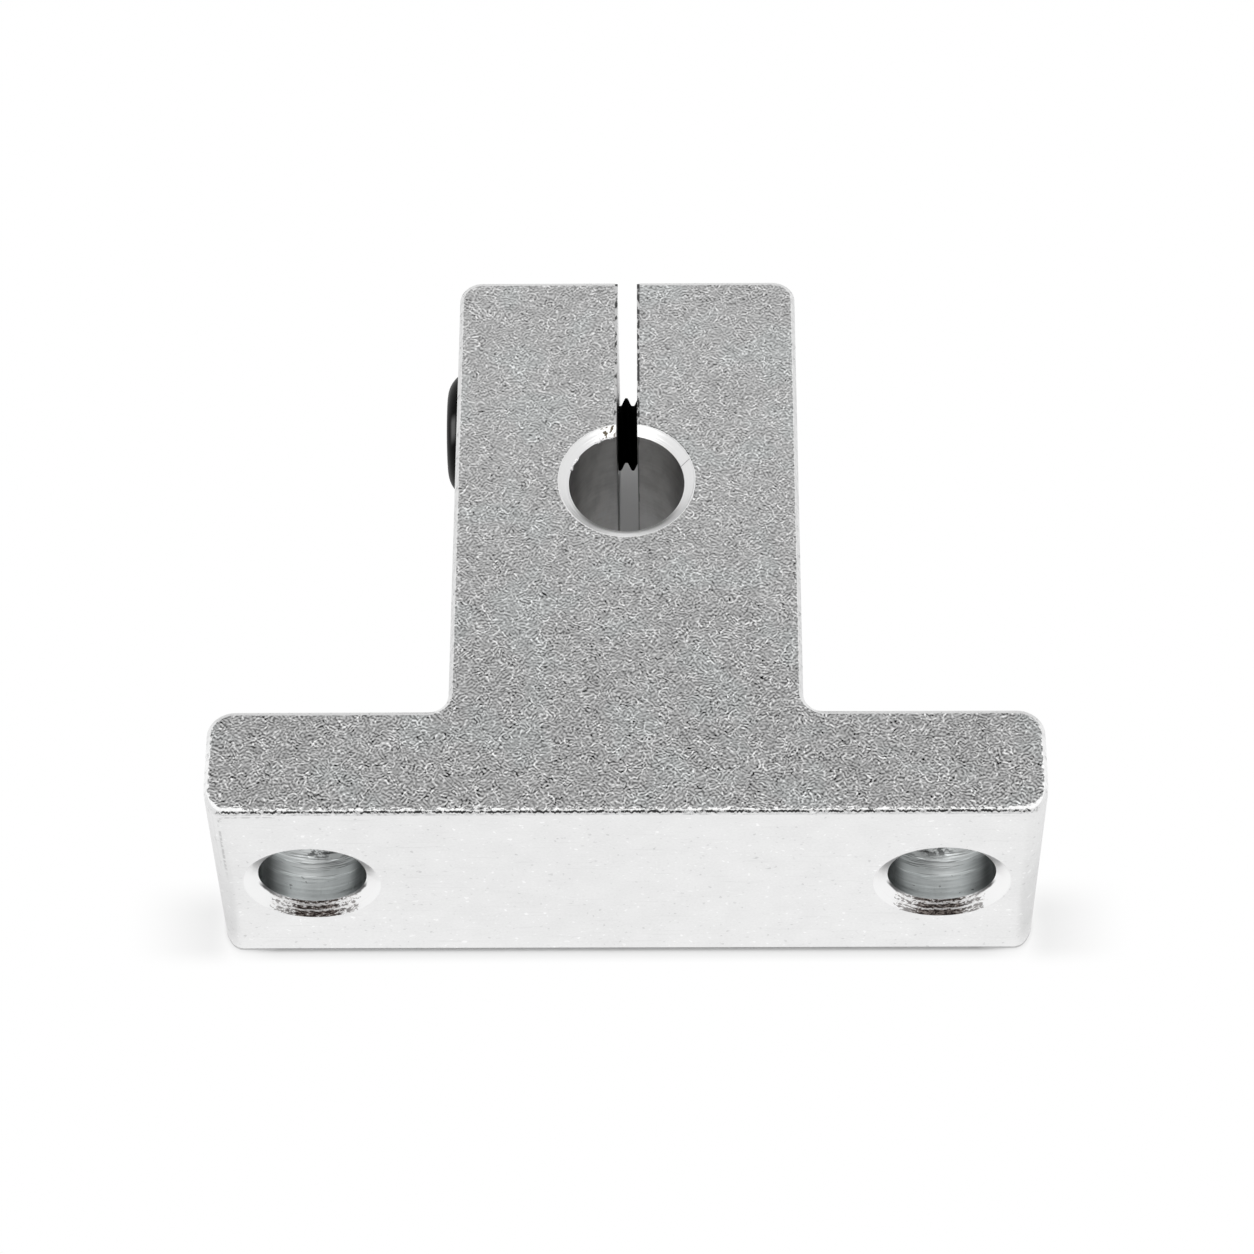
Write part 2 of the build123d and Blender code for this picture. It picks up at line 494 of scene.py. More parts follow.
def drilled_shade(surface, at, feed):
    """A bolt hole's wall, with painted shade and light: darker further in at the back, dark at both
    sides and in patches higher up between them, and lighter towards the hole's outer side; with
    thin arcs from the drill's feed and a few pits near the mouth."""
    # painted shade and light: darker further in at the back and towards the inner side, lighter
    # towards the hole's outer side
    inner = surface.ramp(at.z, 1.6, 2.8) * surface.ramp(at.z, 3.8, 4.3, 1.0, 0.0) * (at.y > 0)
    painted_deep_shade = inner * surface.ramp(at.hole_side, 0.15, 0.75, 0.30, 0.16)
    low = surface.ramp(at.hole_out, -0.6, 0.5, 0.60, 0.86) * surface.ramp(at.z, 1.2, 2.6, 1.0, 1.15)
    # painted shade: dark at both sides of the wall
    side = surface.ramp(at.hole_side, 0.42, 0.90, 0.0, 0.82)
    side = side * surface.ramp(at.z, 2.2, 3.4, 1.0, 0.0)
    # painted shade: darker in patches higher up in the middle; the same blotches give the pits near
    # the mouth
    blotches = surface.noise(surface.stretched(at.place, 2.2, 2.2, 3.5), 1.0, 3.0, 0.7)
    painted_patchy_shade = (surface.ramp(blotches, 0.46, 0.56) * surface.ramp(at.z, 2.7, 3.4, 0.0, 0.75)
              * surface.ramp(at.hole_side, 0.15, 0.45, 1.0, 0.0))
    light = surface.ramp(abs(feed - 0.57), 0.008, 0.022, 0.46, 0.0)
    dark = surface.ramp(abs(feed - 0.52), 0.008, 0.022, 0.30, 0.0)
    arcs = (light - dark) * surface.ramp(at.z, 1.2, 2.2, 0.15, 1.0) * (1 - side)
    pit = surface.ramp(blotches, 0.67, 0.71) * (at.z < 2.2) * 0.4
    return ((low - painted_deep_shade + arcs) * (1 - side) * (1 - painted_patchy_shade) - pit).most(0.02).least(1.0)


def reamed_shade(surface, at):
    """The bore's wall: smeared, with painted shade that darkens it at its sides and near the front.
    """
    streaks = surface.noise(surface.stretched(at.place, 0.9, 0.5, 0.9), 1.0, 3.0, 0.6)
    # painted shade: darker at the bore's sides, and near its front mouth than further back
    side = surface.ramp(at.across, 0.5, 2.6, 1.0, 0.88)
    front = surface.ramp(at.y, -5.5, 1.5, 0.85, 1.12)
    return side * front * surface.ramp(streaks, 0.38, 0.62, 0.84, 1.0)


def lead_in_shade(surface, at):
    """The bore's lead-in: bright, with a painted reflection of the bore's dark wall that darkens it
    towards the bore low down, and with one nick at +X.
    """
    # painted reflection of the bore's dark wall, darkening the lead-in towards the bore low down
    painted_dark_reflection = surface.ramp(at.bore_radius, BORE_RADIUS, BORE_BEVEL_RADIUS - 0.14, 0.72, 0.0)
    low = surface.ramp(at.z, SHAFT_HEIGHT - 2.7, SHAFT_HEIGHT - 1.3, 1.0, 0.0)
    from_nick = abs(at.z - SHAFT_HEIGHT - 1.15 - (at.x - BORE_RADIUS) * 0.6)
    return 1 - painted_dark_reflection * low - surface.ramp(from_nick, 0.02, 0.05, 0.45, 0.0) * at.right


def saw_brink(surface, at, drag):
    """Where the saw came out in the bore: a thin shaded line on -X, a ragged dark one on +X."""
    reach = at.to_slit - at.right * surface.ramp(drag, 0.5, 0.62) * 0.08
    line = surface.ramp(reach, 0.03, 0.09, 1.0, 0.0)
    return line * (at.right * 0.45 + 0.08) * at.bore * at.above_bore


def turned_colour(surface, at):
    """The walls that saw, reamer and drills left, with rings round them, marks along them and
    painted shade in them, and the coordinates that their relief follows."""
    along = summed([(at.slit, at.z * 5), (at.bore, at.y * 5), (at.lead_in, at.bore_radius * 9),
                    (at.hole, at.z * 3), (at.screw_hole, at.x * 4)])
    arc = summed([(at.slit, at.y), (at.bore + at.lead_in, at.bore_arc),
                  (at.hole, at.hole_arc), (at.screw_hole, at.screw_arc)])
    turned_place = surface.vector(along, arc * 0.12, 0)
    feed = surface.noise(turned_place, 1.0, 3.0, 0.6)
    drag = surface.noise(surface.vector(along * 0.1, arc * 3.5, 5), 1.0, 2.0, 0.6)
    # painted shade: the slit's walls darken towards the bore; the bore, lead-in and bolt holes get
    # theirs from their own functions
    shade = summed([(at.slit, surface.ramp(at.z, 23.5, 28.5, 0.55, 0.97)),
                    (at.bore, reamed_shade(surface, at)), (at.lead_in, lead_in_shade(surface, at)),
                    (at.hole, drilled_shade(surface, at, feed)), (at.screw_hole, 0.62)])
    strength = summed([(at.slit + at.screw_hole, 0.25), (at.bore, 0.05), (at.hole, 0.10)])
    groove = 1 - surface.ramp(feed, 0.62, 0.40) * strength
    mark = 1 - surface.ramp(drag, 0.62, 0.74, 0.0, 0.1) * (1 - at.lead_in)
    grey = shade * groove * mark * (1 - saw_brink(surface, at, drag))
    warm = at.bore * surface.ramp(at.x, -2.6, 0.5, 0.015, 0.0)
    colour = surface.vector(grey * (warm - at.hole * 0.03 + 1), grey, grey * (1 - warm))
    soil = at.lead_in * surface.ramp(abs(at.x + 0.95), 0.2, 0.6, 1.0, 0.0) * (at.z > 22)
    speck = surface.ramp(surface.noise(at.place, 5.0, 2.0), 0.50, 0.56) * soil
    return surface.mix(colour, rgb(0.13, 0.11, 0.08), speck), turned_place


def chatter_bands(surface, at, rise):
    """Three bands round a bolt hole's bevel, from its lip outwards, and how strong they are: they
    lie nearer the back than the hole's middle, and fade out towards both sides."""
    lip = surface.ramp(abs(rise - 0.07), 0.07, 0.11, 0.95, 0.0)
    lip = lip * surface.ramp(at.hole_side, 0.1, 0.5, 0.85, 1.0)
    middle = surface.ramp(abs(rise - 0.42), 0.10, 0.14, 0.90, 0.0)
    outer = surface.ramp(rise, 0.60, 0.66, 0.0, 0.97)
    side = ((at.y > 0) * surface.ramp(at.hole_side, 0.28, 0.48, 1.0, 0.72)
            * surface.ramp(at.hole_side, 0.70, 0.98, 1.0, 0.0))
    return outer.most(middle).most(lip).most(0.42) * side, side


def chatter_colour(surface, at):
    """The bevel of a bolt hole: bright, with torn dark arcs, and painted shade on its lip at both
    sides.
    """
    sway = surface.noise(surface.vector(at.hole_arc * 1.3, at.hole_rise, at.right), 1.0, 2.0) - 0.5
    rise = at.hole_rise + sway * 0.22
    bands, side = chatter_bands(surface, at, rise)
    place = surface.vector(at.hole_arc * 4.5, at.hole_rise * 9, at.right * 5)
    torn = surface.noise(place, 1.0, 2.0, 0.7)
    turns = surface.noise(surface.vector(at.hole_rise * 7, at.hole_arc * 0.1, 4), 1.0, 1.0)
    bright = surface.grey(0.94 - surface.ramp(turns, 0.60, 0.70) * 0.25)
    ashen = surface.ramp(torn + side * 0.3, 0.62, 0.85, 0.0, 0.6) * side
    pale = surface.mix(bright, rgb(0.50, 0.46, 0.44), ashen)
    dark = surface.mix(rgb(0.30, 0.26, 0.24), rgb(0.033, 0.025, 0.023),
                       surface.ramp(torn, 0.40, 0.58))
    mark = surface.ramp(torn + bands * (at.right * 0.05 + 0.46), 0.75, 0.84)
    marked = surface.mix(pale, dark, mark * surface.ramp(at.hole_side, 0.30, 0.70, 1.0, 0.6))
    # painted shade: the lip at both sides takes the hole wall's shade there, darker towards the
    # sides
    lip = (surface.ramp(rise, 0.10, 0.20, 1.0, 0.0) * surface.ramp(at.y, 0.5, 1.2)
           * surface.ramp(at.hole_side, 0.50, 0.80))
    lip_shade = surface.grey(surface.ramp(at.hole_side, 0.55, 0.95, 0.34, 0.10))
    return surface.mix(marked, lip_shade, lip)


def burr_and_crevice_shade(surface, at, tear):
    """A thin wavy dark line along the lowest front edge: its burr, with painted shade in the
    crevice under it; broken, and paler where the edge is torn.
    """
    gaps = surface.noise(surface.vector(at.x * 2.2, 0, at.z * 3), 1.0, 3.0, 0.7)
    wave = surface.noise(surface.vector(at.x * 5, 0, 0), 1.0, 1.0) * 0.2 - 0.1
    height = at.z + wave
    upper_side = surface.ramp(height - gaps * 0.20, 0.05, 0.09, 1.0, 0.0)
    # the burr's dark line, with painted shade in the crevice under it
    line = surface.ramp(height, 0.07, 0.10) * upper_side
    between_feet = surface.ramp(at.across, CREASE - 0.2, CREASE + 0.2, 1.0, 0.0) * (at.y < 0)
    broken = surface.ramp(gaps, 0.36, 0.43) * surface.ramp(tear, 0.60, 0.54, 0.25, 1.0)
    return line * between_feet * broken


def edge_colour(surface, at, tear):
    """The bevels of the two outlines: with painted shade that darkens them the higher they are and
    most on the top edges, torn in places, and with a dark line along the lowest one at the front:
    its burr, with painted shade in the crevice under it."""
    torn = surface.ramp(tear, 0.60, 0.70) * 0.3
    # painted shade: the bevels darken the higher they lie, and most along the top edges
    height = surface.ramp(at.z, 3.0, 5.8, 0.97, 0.80) - at.top_edge * 0.17
    # the burr's dark line, with painted shade in the crevice under it
    line = burr_and_crevice_shade(surface, at, tear)
    return surface.grey((height - torn) * (1 - line) + line * 0.06)


def slit_edge_colour(surface, at):
    """The saw's edge on the end face: a light line with dark dashes of burr, more of them near the
    crown, and more on +X as painted shade.
    """
    dash = surface.noise(surface.vector(at.to_slit * 4, at.right * 7, at.z * 1.9), 1.0, 3.0, 0.6)
    corner = surface.ramp(at.z, CROWN - 0.5, CROWN - 0.25)
    # painted shade: the +X side gets more of the dark dashes
    dark = surface.ramp(dash + at.right * 0.05 + corner * 0.2, 0.50, 0.57)
    return surface.mix(surface.grey(0.55), rgb(0.07, 0.07, 0.07), dark)


def blasted_share(surface, at, tear):
    """1 on the blasted part of an end face. It stops short of the outline by a ragged width, which
    is larger along the lowest front edge, at the feet and along the top edges."""
    knots = surface.noise(surface.stretched(at.place, 3, 3, 6), 1.0, 2.0, 0.7)
    knotted = surface.ramp(knots, 0.46, 0.62, 0.0, 0.18) * (at.z < 0.7)
    foot = surface.ramp(at.z, 0.4, 1.4, 0.14, 0.0) * (at.across > HALF_WIDTH - 2)
    base_side = (at.across > HALF_WIDTH - 0.8) * (at.z < BASE_TOP - 1)
    ragged = tear * 0.16 + at.top_edge * 0.06 + surface.ramp(tear, 0.46, 0.60) * base_side * 0.07
    inside = surface.ramp(at.depth - ragged - (knotted + foot) * (at.y < 0), 0.10, 0.15)
    return at.end * inside * (at.bore_radius > BORE_BEVEL_RADIUS + tear * 0.08)


def block_material():
    """Drawn faces, blasted ends, worn bevels and cut holes, told apart by place."""
    surface = Surface("worked_aluminium")
    at = BlockPlaces(surface)
    turned = at.slit + at.bore + at.lead_in + at.hole + at.screw_hole
    turned_look, turned_place = turned_colour(surface, at)
    tear = surface.noise(at.place, 4.0, 3.0, 0.6)
    blasted = blasted_share(surface, at, tear)
    slit_edge = (at.end * at.above_bore * surface.ramp(at.to_slit, 0.09, 0.15, 1.0, 0.0)
                 * (at.bore_radius > BORE_BEVEL_RADIUS))
    looks = ((edge_colour(surface, at, tear), at.edge + at.end),
             (blasted_colour(surface, at), blasted), (slit_edge_colour(surface, at), slit_edge),
             (turned_look, turned), (chatter_colour(surface, at), at.hole_bevel))
    colour = drawn_colour(surface, at)
    for look, share in looks:
        colour = surface.mix(colour, look, share)
    rough = (at.edge + turned) * -0.06 + blasted * 0.16 + 0.34

    # One noise gives every kind of surface its relief, each at its own scale and depth
    spread = at.end * 4.4 + at.edge * 3.4 + 0.6
    relief_place = surface.mix(surface.scaled(at.place, spread), turned_place, turned)
    relief = surface.noise(relief_place, 1.0, 1.0)
    depth = at.end * 0.018 + at.edge * 0.018 + turned * 0.003 + 0.012
    return surface.finish(colour, rough, 1.0, surface.bump(relief * depth))


def screw_material():
    """Black oxide, with a fine grain: one painted highlight on the head's rim, and the thread in
    the slit less glossy than the head and blacker, with painted shade."""
    surface = Surface("black_oxide")
    place, (x, y, z) = surface.place()
    grain = surface.noise(place, 6.0, 3.0)
    # painted highlight: a soft light streak on the head's rim
    painted_highlight = (surface.ramp(abs(x - HEAD_END - 0.40), 0.04, 0.20, 0.13, 0.0) * (y < 0)
             * surface.ramp(abs(z - SCREW_HEIGHT + 1.4), 0.2, 0.8, 1.0, 0.0))
    # painted shade: the thread in the slit is made black
    in_slit = abs(x) < HALF_SLIT + 0.5
    shade = surface.ramp(grain, 0.3, 0.7, 0.002, 0.004) * (1 - in_slit) + painted_highlight
    return surface.finish(surface.grey(shade), in_slit * 0.45 + 0.34, 0.0,
                          surface.bump(grain * 0.004), 0.026)


def placed(name, data):
    """A new object at the origin."""
    made = bpy.data.objects.new(name, data)
    bpy.context.scene.collection.objects.link(made)
    return made


def ring(mesh, count, x, radius_at):
    """One ring of points round the screw's axis; radius_at gives the radius at an angle."""
    points = []
    for step in range(count):
        angle = 2 * pi * step / count
        radius = radius_at(angle)
        where = Vector((x, radius * cos(angle), SCREW_HEIGHT + radius * sin(angle)))
        points.append(mesh.verts.new(where * MM))
    return points


def band(mesh, near, far):
    """Faces from one ring to the next."""
    count = len(near)
    for step in range(count):
        after = (step + 1) % count
        mesh.faces.new((near[step], near[after], far[after], far[step]))


def fan(mesh, pole, edge):
    """Faces from a pole on the screw's axis to a ring."""
    count = len(edge)
    for step in range(count):
        mesh.faces.new((pole, edge[step], edge[(step + 1) % count]))


def finished_piece(name, mesh, material):
    """Turn bmesh work into an object at the origin, with outward faces and soft shading."""
    bmesh.ops.recalc_face_normals(mesh, faces=mesh.faces)
    data = bpy.data.meshes.new(name)
    mesh.to_mesh(data)
    mesh.free()
    data.materials.append(material)
    data.shade_smooth()
    data.set_sharp_from_angle(angle=radians(35))
    return placed(name, data)


def round_of(radius):
    """The same radius at every angle."""
    return lambda angle: radius


def hexagon(angle):
    """How far the key socket's flat walls are from the axis, at an angle."""
    return KEY_FLAT / cos((angle + pi / 6) % (pi / 3) - pi / 6)


def socket_mouth(angle):
    """The hexagon, widened to a circle where its bevel has begun."""
    return max(hexagon(angle), KEY_FLAT + KEY_LEAD_IN)


def thread_radius_at(x):
    """The radius at a place along the screw and an angle round it, for a right-hand thread."""
    def radius_at(angle):
        turn = (x / PITCH - angle / (2 * pi)) % 1.0
        from_crest = abs(turn - 0.5) * 2
        flank = min(max((from_crest - CREST_SHARE) / FLANK_SHARE, 0.0), 1.0)
        rounded = flank * flank * (3 - 2 * flank) * 0.4 + flank * 0.6
        return THREAD_RADIUS - THREAD_DEPTH * rounded
    return radius_at


def tipped_thread_at(x):
    """The thread's radius, cut back to a bevel at the screw's tip."""
    thread = thread_radius_at(x)
    widest = NECK_RADIUS - PITCH / 2 + (SCREW_TIP - x)
    return lambda angle: min(thread(angle), widest)


def bare_thread_at(x):
    """The tapped hole's radius, which runs out to its full width at the mouth."""
    thread = thread_radius_at(x)
    run_out = max(0.0, (x - BARE_END + BARE_RUN_OUT) / BARE_RUN_OUT) * THREAD_DEPTH
    return lambda angle: min(thread(angle) + BARE_GAP + run_out, TAPPED_RADIUS)


def even_places(start, end, steps_per_pitch):
    """Places from start to end along the screw, near enough to each other for a thread."""
    steps = ceil((end - start) / PITCH * steps_per_pitch)
    return [start + (end - start) * step / steps for step in range(steps + 1)]


def socket_profile():
    """The tip of the key socket's drill point, and the socket from there out, as places along
    the screw and their radii."""
    floor = HEAD_END + KEY_DEPTH
    point = floor + KEY_FLAT / tan(DRILL_POINT)
    cone = [(point + (floor - point) * share, round_of(KEY_FLAT * share)) for share in CONE_SHARES]
    walls = [(floor, hexagon), (HEAD_END + KEY_LEAD_IN * 2, hexagon),
             (HEAD_END + KEY_LEAD_IN, socket_mouth), (HEAD_END, round_of(KEY_CORNER + KEY_LEAD_IN))]
    return point, cone + walls


def head_profile(seat):
    """The head from its rolled rim to its seat, and the neck's fillet under it."""
    rim = []
    for step in range(RIM_STEPS + 1):
        angle = pi / 2 * step / RIM_STEPS
        rim.append((HEAD_END + RIM_RADIUS * (1 - cos(angle)),
                    round_of(HEAD_RADIUS - RIM_RADIUS * (1 - sin(angle)))))
    under = ((seat - SEAT_BEVEL, HEAD_RADIUS), (seat, HEAD_RADIUS - SEAT_BEVEL),
             (seat, NECK_RADIUS + NECK_FILLET),
             (seat + NECK_FILLET * 0.3, NECK_RADIUS + NECK_FILLET * 0.3),
             (seat + NECK_FILLET, NECK_RADIUS - NECK_FILLET * 0.1))
    return rim + [(x, round_of(radius)) for x, radius in under]


def threaded_screw(material):
    """The clamp screw as one closed skin of rings: socket, head, neck, thread and tip."""
    seat = HEAD_END + HEAD_HEIGHT
    point, profile = socket_profile()
    profile += head_profile(seat)
    profile += [(x, tipped_thread_at(x))
                for x in even_places(seat + NECK_LENGTH, SCREW_TIP, STEPS_PER_PITCH)]
    mesh = bmesh.new()
    rings = [ring(mesh, ROUND_STEPS, x, radius_at) for x, radius_at in profile]
    for near, far in zip(rings, rings[1:]):
        band(mesh, near, far)
    for x, edge in ((point, rings[0]), (SCREW_TIP, rings[-1])):
        fan(mesh, mesh.verts.new(Vector((x, 0, SCREW_HEIGHT)) * MM), edge)
    piece = finished_piece("threaded_clamp_screw", mesh, material)
    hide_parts("clamp_screw")
    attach(piece, "screw")


def tapped_thread(material):
    """The thread of the tapped hole, where it is bare between the screw's tip and the mouth."""
    mesh = bmesh.new()
    profile = [(BARE_START, round_of(BARE_OUTSIDE))]
    profile += [(x, bare_thread_at(x))
                for x in even_places(BARE_START, BARE_END, BARE_STEPS_PER_PITCH)]
    profile.append((BARE_END, round_of(BARE_OUTSIDE)))
    rings = [ring(mesh, BARE_ROUND_STEPS, x, radius_at) for x, radius_at in profile]
    for near, far in zip(rings, rings[1:] + rings[:1]):
        band(mesh, near, far)
    piece = finished_piece("tapped_hole_thread", mesh, material)
    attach(piece, "block")


def crumb_group():
    """Geometry nodes that set torn crumbs of metal along a path, all of them of different size."""
    group = bpy.data.node_groups.new("torn_crumbs", "GeometryNodeTree")
    geometry = "NodeSocketGeometry"
    group.interface.new_socket("Geometry", in_out="OUTPUT", socket_type=geometry)
    kinds = {"Geometry": geometry, "Spacing": "NodeSocketFloat", "Smallest": "NodeSocketFloat",
             "Largest": "NodeSocketFloat", "Stray": "NodeSocketFloat", "Seed": "NodeSocketInt",
             "Material": "NodeSocketMaterial"}
    for name, kind in kinds.items():
        group.interface.new_socket(name, in_out="INPUT", socket_type=kind)
    given = group.nodes.new("NodeGroupInput").outputs

    def node(kind, inputs, settings=None, output=0):
        return new_node(group, kind, settings, inputs).outputs[output]

    def corner(reach, sign=1):
        return node("ShaderNodeVectorMath", {0: (sign, sign, sign), "Scale": reach},
                    {"operation": "SCALE"})

    def random_between(least, most):
        return node("FunctionNodeRandomValue", {"Min": least, "Max": most, "Seed": given["Seed"]},
                    {"data_type": "FLOAT_VECTOR"}, "Value")

    curve = node("GeometryNodeMeshToCurve", {"Mesh": given["Geometry"]})
    points = node("GeometryNodeCurveToPoints", {"Curve": curve, "Length": given["Spacing"]},
                  {"mode": "LENGTH"}, "Points")
    stray = random_between(corner(given["Stray"], -1), corner(given["Stray"]))
    strayed = node("GeometryNodeSetPosition", {"Geometry": points, "Offset": stray})
    crumb = node("GeometryNodeMeshIcoSphere", {"Radius": 1.0, "Subdivisions": 1}, output="Mesh")
    turn = random_between((0, 0, 0), (2 * pi, 2 * pi, 2 * pi))
    size = random_between(corner(given["Smallest"]), corner(given["Largest"]))
    crumbs = node("GeometryNodeInstanceOnPoints", {
        "Points": strayed, "Instance": crumb, "Rotation": turn, "Scale": size})
    real = node("GeometryNodeRealizeInstances", {"Geometry": crumbs})
    painted = node("GeometryNodeSetMaterial", {"Geometry": real, "Material": given["Material"]})
    group.links.new(painted, group.nodes.new("NodeGroupOutput").inputs[0])
    return group


def plain_copy(source, group, values, name):
    """Evaluate a node group on an object and keep the result as a plain mesh."""
    modifier = source.modifiers.new("nodes", "NODES")
    modifier.node_group = group
    for item in group.interface.items_tree:
        if item.name in values:
            modifier[item.identifier] = values[item.name]
    source.update_tag()
    graph = bpy.context.evaluated_depsgraph_get()
    made = bpy.data.meshes.new_from_object(source.evaluated_get(graph))
    bpy.data.objects.remove(source)
    return placed(name, made)


def path_object(name, path):
    """A line through points in millimetres, as a mesh of loose edges."""
    data = bpy.data.meshes.new(name)
    data.from_pydata([Vector(point) * MM for point in path],
                     [(step, step + 1) for step in range(len(path) - 1)], [])
    return placed(name, data)


def torn_aluminium():
    """Bright torn metal, for the crumbs that hang on the edges."""
    surface = Surface("torn_aluminium")
    tear = surface.noise(surface.place()[0], 9.0, 2.0)
    shade = surface.grey(surface.ramp(tear, 0.3, 0.7, 0.80, 1.0))
    return surface.finish(shade, 0.3, 1.0, surface.bump(tear * 0.02))


def torn_edge(name, path, group, material, crumbs):
    """Crumbs along a path of points, as a piece that rides the block."""
    values = {"Spacing": crumbs["spacing"] * MM, "Smallest": SMALLEST_CRUMB * MM,
              "Largest": crumbs["largest"] * MM, "Stray": crumbs["stray"] * MM,
              "Seed": crumbs["seed"], "Material": material}
    piece = plain_copy(path_object(name + "_path", path), group, values, name)
    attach(piece, "block")


def torn_edges():
    """Crumbs along the front edge of the underside and on two stretches of the bore's mouth."""
    group = crumb_group()
    material = torn_aluminium()
    half = HALF_WIDTH - EDGE_CRUMBS_SHORT
    inset = EDGE_BEVEL * 0.75
    edge = [(side * half, inset - HALF_DEPTH, inset) for side in (-1, 1)]
    torn_edge("front_edge_crumbs", edge, group, material, EDGE_CRUMBS)
    for name, (stretch, crumbs) in MOUTH_CRUMBS.items():
        rim = [(BORE_RADIUS * cos(radians(degrees)), BORE_BEVEL_DEPTH - HALF_DEPTH,
                SHAFT_HEIGHT + BORE_RADIUS * sin(radians(degrees))) for degrees in stretch]
        torn_edge(name, rim, group, material, crumbs)


def white_sheet(name, corners, shares_at):
    """A big sheet, seen only from its front, that is white to the eye and to mirrors. shares_at
    gives four numbers for a place: how much of the sheet's own shaded look the eye sees there,
    and how much mirrors see, then 1 where the sheet is open, then its own shade."""
    surface = Surface(name + "_white")
    x, y, z = surface.place()[1]
    eye_share, mirror_share, gone, shade = shares_at(surface, x, y, z)
    lit = surface.node("ShaderNodeBsdfDiffuse", inputs={"Color": surface.grey(shade)})
    glow = surface.node("ShaderNodeEmission", inputs={"Color": rgb(1, 1, 1), "Strength": 1.0})
    eye = surface.node("ShaderNodeLightPath", output="Is Camera Ray")
    mirror = surface.node("ShaderNodeLightPath", output="Is Glossy Ray")
    white = eye * (1 - eye_share) + mirror * (1 - mirror_share)
    both = surface.node("ShaderNodeMixShader", inputs={0: white, 1: lit, 2: glow})
    behind = surface.node("ShaderNodeNewGeometry", output="Backfacing")
    clear = surface.node("ShaderNodeBsdfTransparent")
    seen = surface.node("ShaderNodeMixShader", inputs={0: behind.most(gone), 1: both, 2: clear})
    surface.node("ShaderNodeOutputMaterial", inputs={"Surface": seen})

    data = bpy.data.meshes.new(name)
    data.from_pydata([Vector(corner) * MM for corner in corners], [], [(0, 1, 2, 3)])
    data.materials.append(surface.material)
    sheet = placed(name, data)
    sheet.visible_shadow = False
    sheet.visible_diffuse = False
    return sheet


def table_shares(surface, x, y, z):
    """The eye and mirrors see the shaded look in the block's bore and slit. The eye also sees it
    in the contact shadow round the base and in a soft one at each side, and mirrors see it behind
    and beside the base. Round the base's edge the sheet's own colour is darker, a painted contact
    shadow. Where the back end face lies on the table, the table is open, so that the
    face shows the studio."""
    across = abs(x)
    away = outline_depth(across, z) * -1
    under = away < 0
    on_table = away < -EDGE_BEVEL
    at_side = surface.ramp(across, HALF_WIDTH - 1, HALF_WIDTH + 1)
    corner_fade = surface.ramp(across, HALF_WIDTH - 3, HALF_WIDTH - 0.5, 1.0, 0.35)
    low = surface.ramp(z, 2.0, 4.5, 1.0, 0.0)
    contact = surface.ramp(away, 0.0, 0.3, 0.5, 0.0) + surface.ramp(away, 0.0, 0.9, 0.5, 0.0)
    side = at_side * surface.ramp(away, 0.3, 5.5, 0.4, 0.0) * surface.ramp(z, -1.2, 0.2)
    dimmed = (contact * corner_fade).most(side) * low
    behind = surface.ramp(away, 1.5, 6.0, 1.0, 0.0) * surface.ramp(z, 4.0, 7.0)
    beside = at_side * surface.ramp(away, 2.0, 9.0, 0.6, 0.0)
    in_bore = length(x, z - SHAFT_HEIGHT) < BORE_BEVEL_RADIUS
    in_slit = (across < HALF_SLIT) * (z > SHAFT_HEIGHT)
    at_foot = low * corner_fade
    # painted contact shadow: the sheet's colour darkens right at the base's edge, less at its
    # corners
    contact_shadow_paint = surface.ramp(away, 0.0, 0.16, PAINTED_CONTACT_SHADOW, SHEET_SHADE)
    return (dimmed.most(under * 0.915),
            behind.most(beside).most(under * 0.88),
            on_table * (1 - in_bore.most(in_slit)),
            contact_shadow_paint * at_foot + (1 - at_foot) * SHEET_SHADE)


def floor_shares(surface, x, y, z):
    """The shaded look fades out from the base, and towards the line behind it where the table
    cuts through the floor, except right behind the base. None of the floor is open."""
    near = surface.ramp(length(x, y), HALF_WIDTH, HALF_WIDTH * 2.5, 0.35, 0.0)
    behind_base = surface.ramp(abs(x), HALF_WIDTH, HALF_WIDTH + 4, 1.0, 0.0)
    near = near * surface.ramp(abs(y - HALF_DEPTH), 0.0, HALF_DEPTH).most(behind_base)
    return near, near, 0.0, SHEET_SHADE


def stage():
    """The table that the block lies on by its back end face, and a floor under its base."""
    square = ((-SHEET_REACH, -SHEET_REACH), (SHEET_REACH, -SHEET_REACH),
              (SHEET_REACH, SHEET_REACH), (-SHEET_REACH, SHEET_REACH))
    white_sheet("table", [(x, HALF_DEPTH + SHEET_GAP, z) for x, z in square], table_shares)
    floor = white_sheet("floor", [(x, y, -SHEET_GAP) for x, y in square], floor_shares)
    floor.visible_glossy = False


def lamp(name, place, target, size, power):
    """A square soft box, in millimetres and watts."""
    data = bpy.data.lights.new(name, "AREA")
    data.size = size * MM
    data.energy = power
    box = placed(name, data)
    box.location = place * MM
    box.rotation_euler = ((place - target) * MM).to_track_quat("Z", "Y").to_euler()


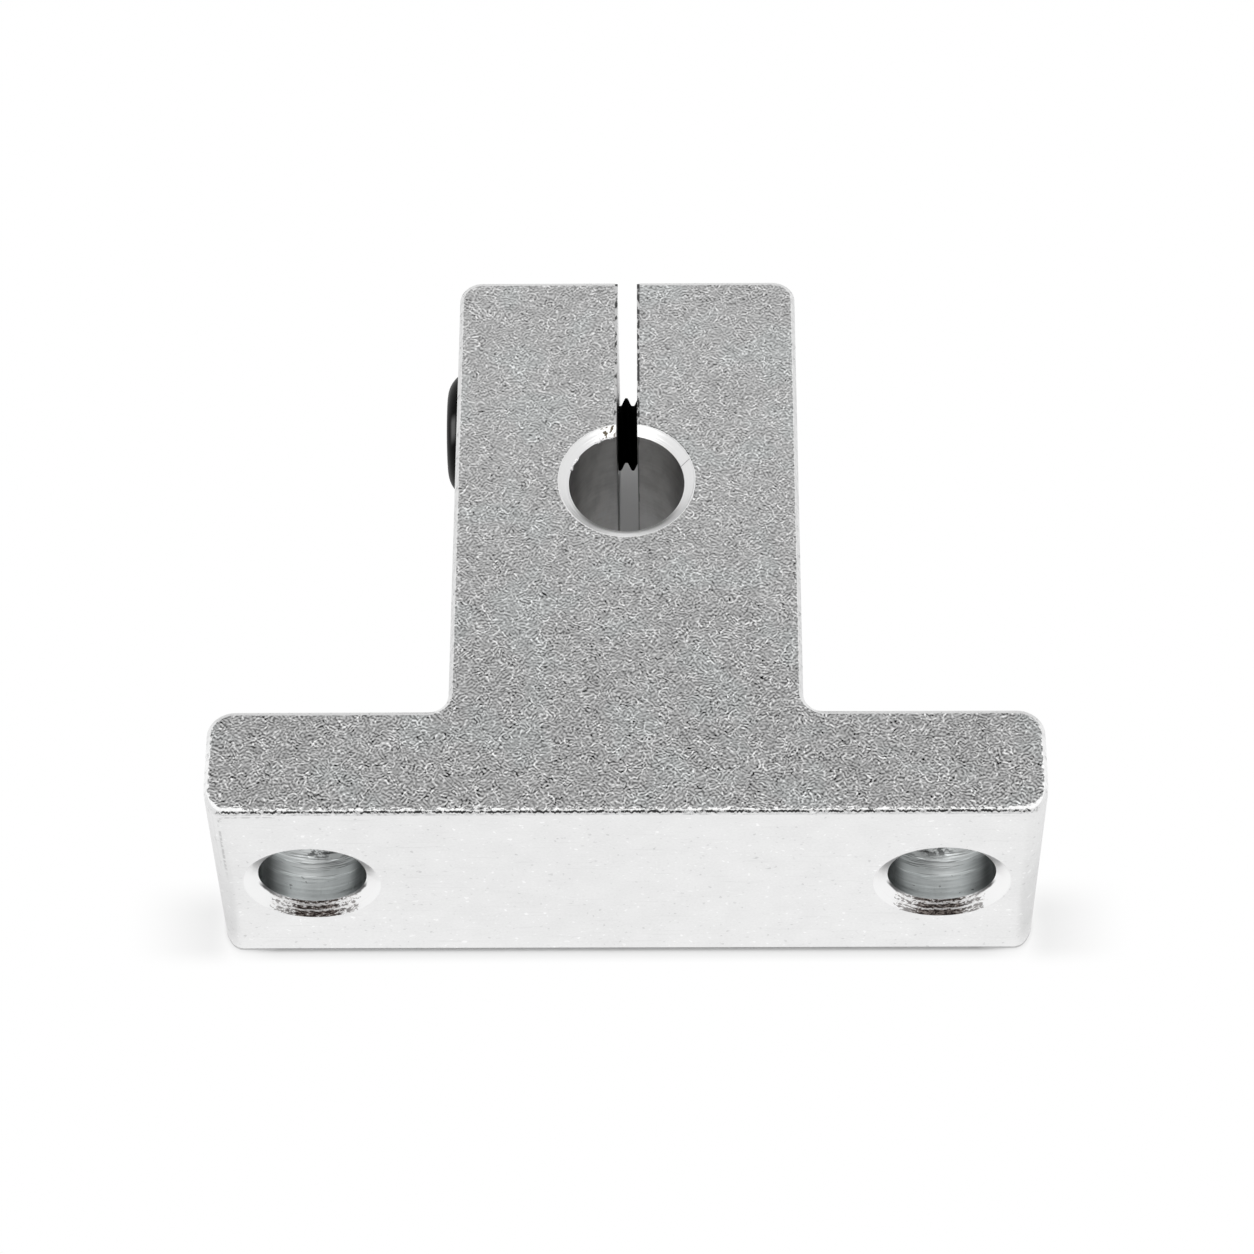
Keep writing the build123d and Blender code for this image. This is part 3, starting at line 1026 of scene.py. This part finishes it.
def world():
    """Even studio light all round, darker from below, and white behind everything."""
    made = bpy.data.worlds.new("studio")
    made.use_nodes = True
    tree = made.node_tree
    tree.nodes.clear()

    def node(kind, inputs, settings=None, output=0):
        return new_node(tree, kind, settings, inputs).outputs[output]

    direction = node("ShaderNodeTexCoord", {}, output="Generated")
    facing = node("ShaderNodeVectorMath", {0: direction, 1: DARK_DIRECTION},
                  {"operation": "DOT_PRODUCT"}, "Value")
    levels = {"Value": facing, "From Min": cos(DARK_OUTSIDE), "From Max": cos(DARK_INSIDE),
              "To Min": STUDIO_LEVEL, "To Max": STUDIO_LEVEL * DARK_PART}
    level = node("ShaderNodeMapRange", levels, {"interpolation_type": "SMOOTHSTEP"})
    seen = node("ShaderNodeLightPath", {}, output="Is Camera Ray")
    strength = node("ShaderNodeMix", {0: seen, 2: level, 3: 1.0}, {"data_type": "FLOAT"})
    background = node("ShaderNodeBackground", {"Strength": strength})
    new_node(tree, "ShaderNodeOutputWorld", inputs={"Surface": background})
    bpy.context.scene.world = made


def camera():
    """The photograph's viewpoint: in front of the end face, and below the mounting face."""
    back = Vector((sin(CAMERA_AZIMUTH) * cos(CAMERA_ELEVATION),
                   -cos(CAMERA_AZIMUTH) * cos(CAMERA_ELEVATION), sin(CAMERA_ELEVATION)))
    data = bpy.data.cameras.new("camera")
    data.sensor_width = SENSOR
    data.lens = FOCAL_LENGTH / PHOTO_WIDTH * SENSOR
    data.clip_start = 0.01
    data.clip_end = 10.0
    eye = placed("camera", data)
    eye.location = (AIM + back * CAMERA_DISTANCE) * MM
    right = (-back).cross(Vector((0, 0, 1))).normalized()
    up = right.cross(-back)
    turned_right = right * cos(CAMERA_ROLL) + up * sin(CAMERA_ROLL)
    turned_up = up * cos(CAMERA_ROLL) - right * sin(CAMERA_ROLL)
    eye.rotation_euler = Matrix((turned_right, turned_up, back)).transposed().to_euler()
    bpy.context.scene.camera = eye


def dress(node, material):
    """Give a CAD node one material in all its slots."""
    for slot in frame["nodes"][node].material_slots:
        slot.material = material


camera()
world()
stage()
for name, settings in LAMPS.items():
    lamp(name, *settings)
aluminium = block_material()
dress("support_block", aluminium)
tapped_thread(aluminium)
screw_black = screw_material()
dress("clamp_screw", screw_black)
threaded_screw(screw_black)
torn_edges()
bpy.context.scene.view_settings.view_transform = "Standard"
